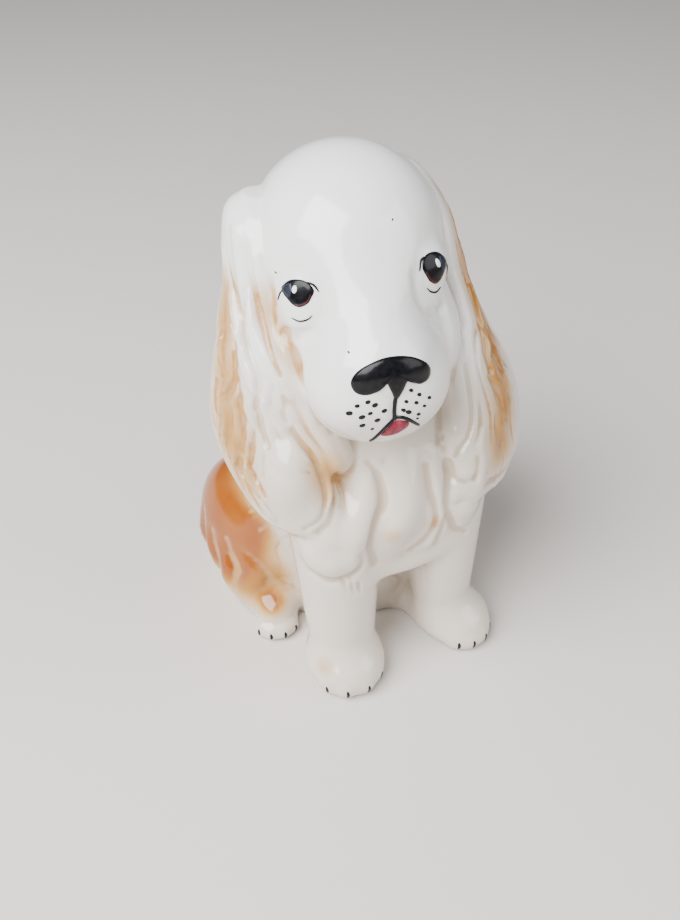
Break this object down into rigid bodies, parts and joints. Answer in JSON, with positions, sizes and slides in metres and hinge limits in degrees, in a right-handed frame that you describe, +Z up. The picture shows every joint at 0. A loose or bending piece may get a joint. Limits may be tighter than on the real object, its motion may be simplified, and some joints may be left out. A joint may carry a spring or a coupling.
{
  "type": "ceramic dog figurine",
  "caption": "Seated long-eared spaniel in glazed white earthenware with tan ears and haunches, modelled nose and eyes, hollow cast with a vent in its flat foot.",
  "frame": {"origin": "centre of the bounding box at the flat foot the dog stands on", "axes": "+Z up through the head; the dog faces -Y, so its right side is at -X and its left side at +X; the head is turned about 9 degrees to the dog's right"},
  "size_m": [0.0986, 0.1088, 0.1649],
  "materials": {
    "white_glaze": "clear glossy glaze over a white slip-cast body",
    "tan_glaze": "orange-tan underglaze colour under a clear glossy glaze",
    "cream_glaze": "white body with tan colour pooled in the fur grooves under a clear glossy glaze",
    "black_enamel": "glossy black enamel",
    "pink_enamel": "glossy pink-red enamel"
  },
  "bodies": {
    "root": {"head_shell": "white_glaze", "torso_shell": "white_glaze", "chest_ruff": "white_glaze", "right_foreleg": "white_glaze", "left_foreleg": "white_glaze", "right_haunch": "tan_glaze", "left_haunch": "tan_glaze", "right_hind_paw": "cream_glaze", "left_hind_paw": "cream_glaze", "tail": "tan_glaze", "right_ear": "cream_glaze", "left_ear": "cream_glaze", "nose": "black_enamel", "tongue": "pink_enamel", "right_eye": "black_enamel", "left_eye": "black_enamel"}
  },
  "joints": []
}
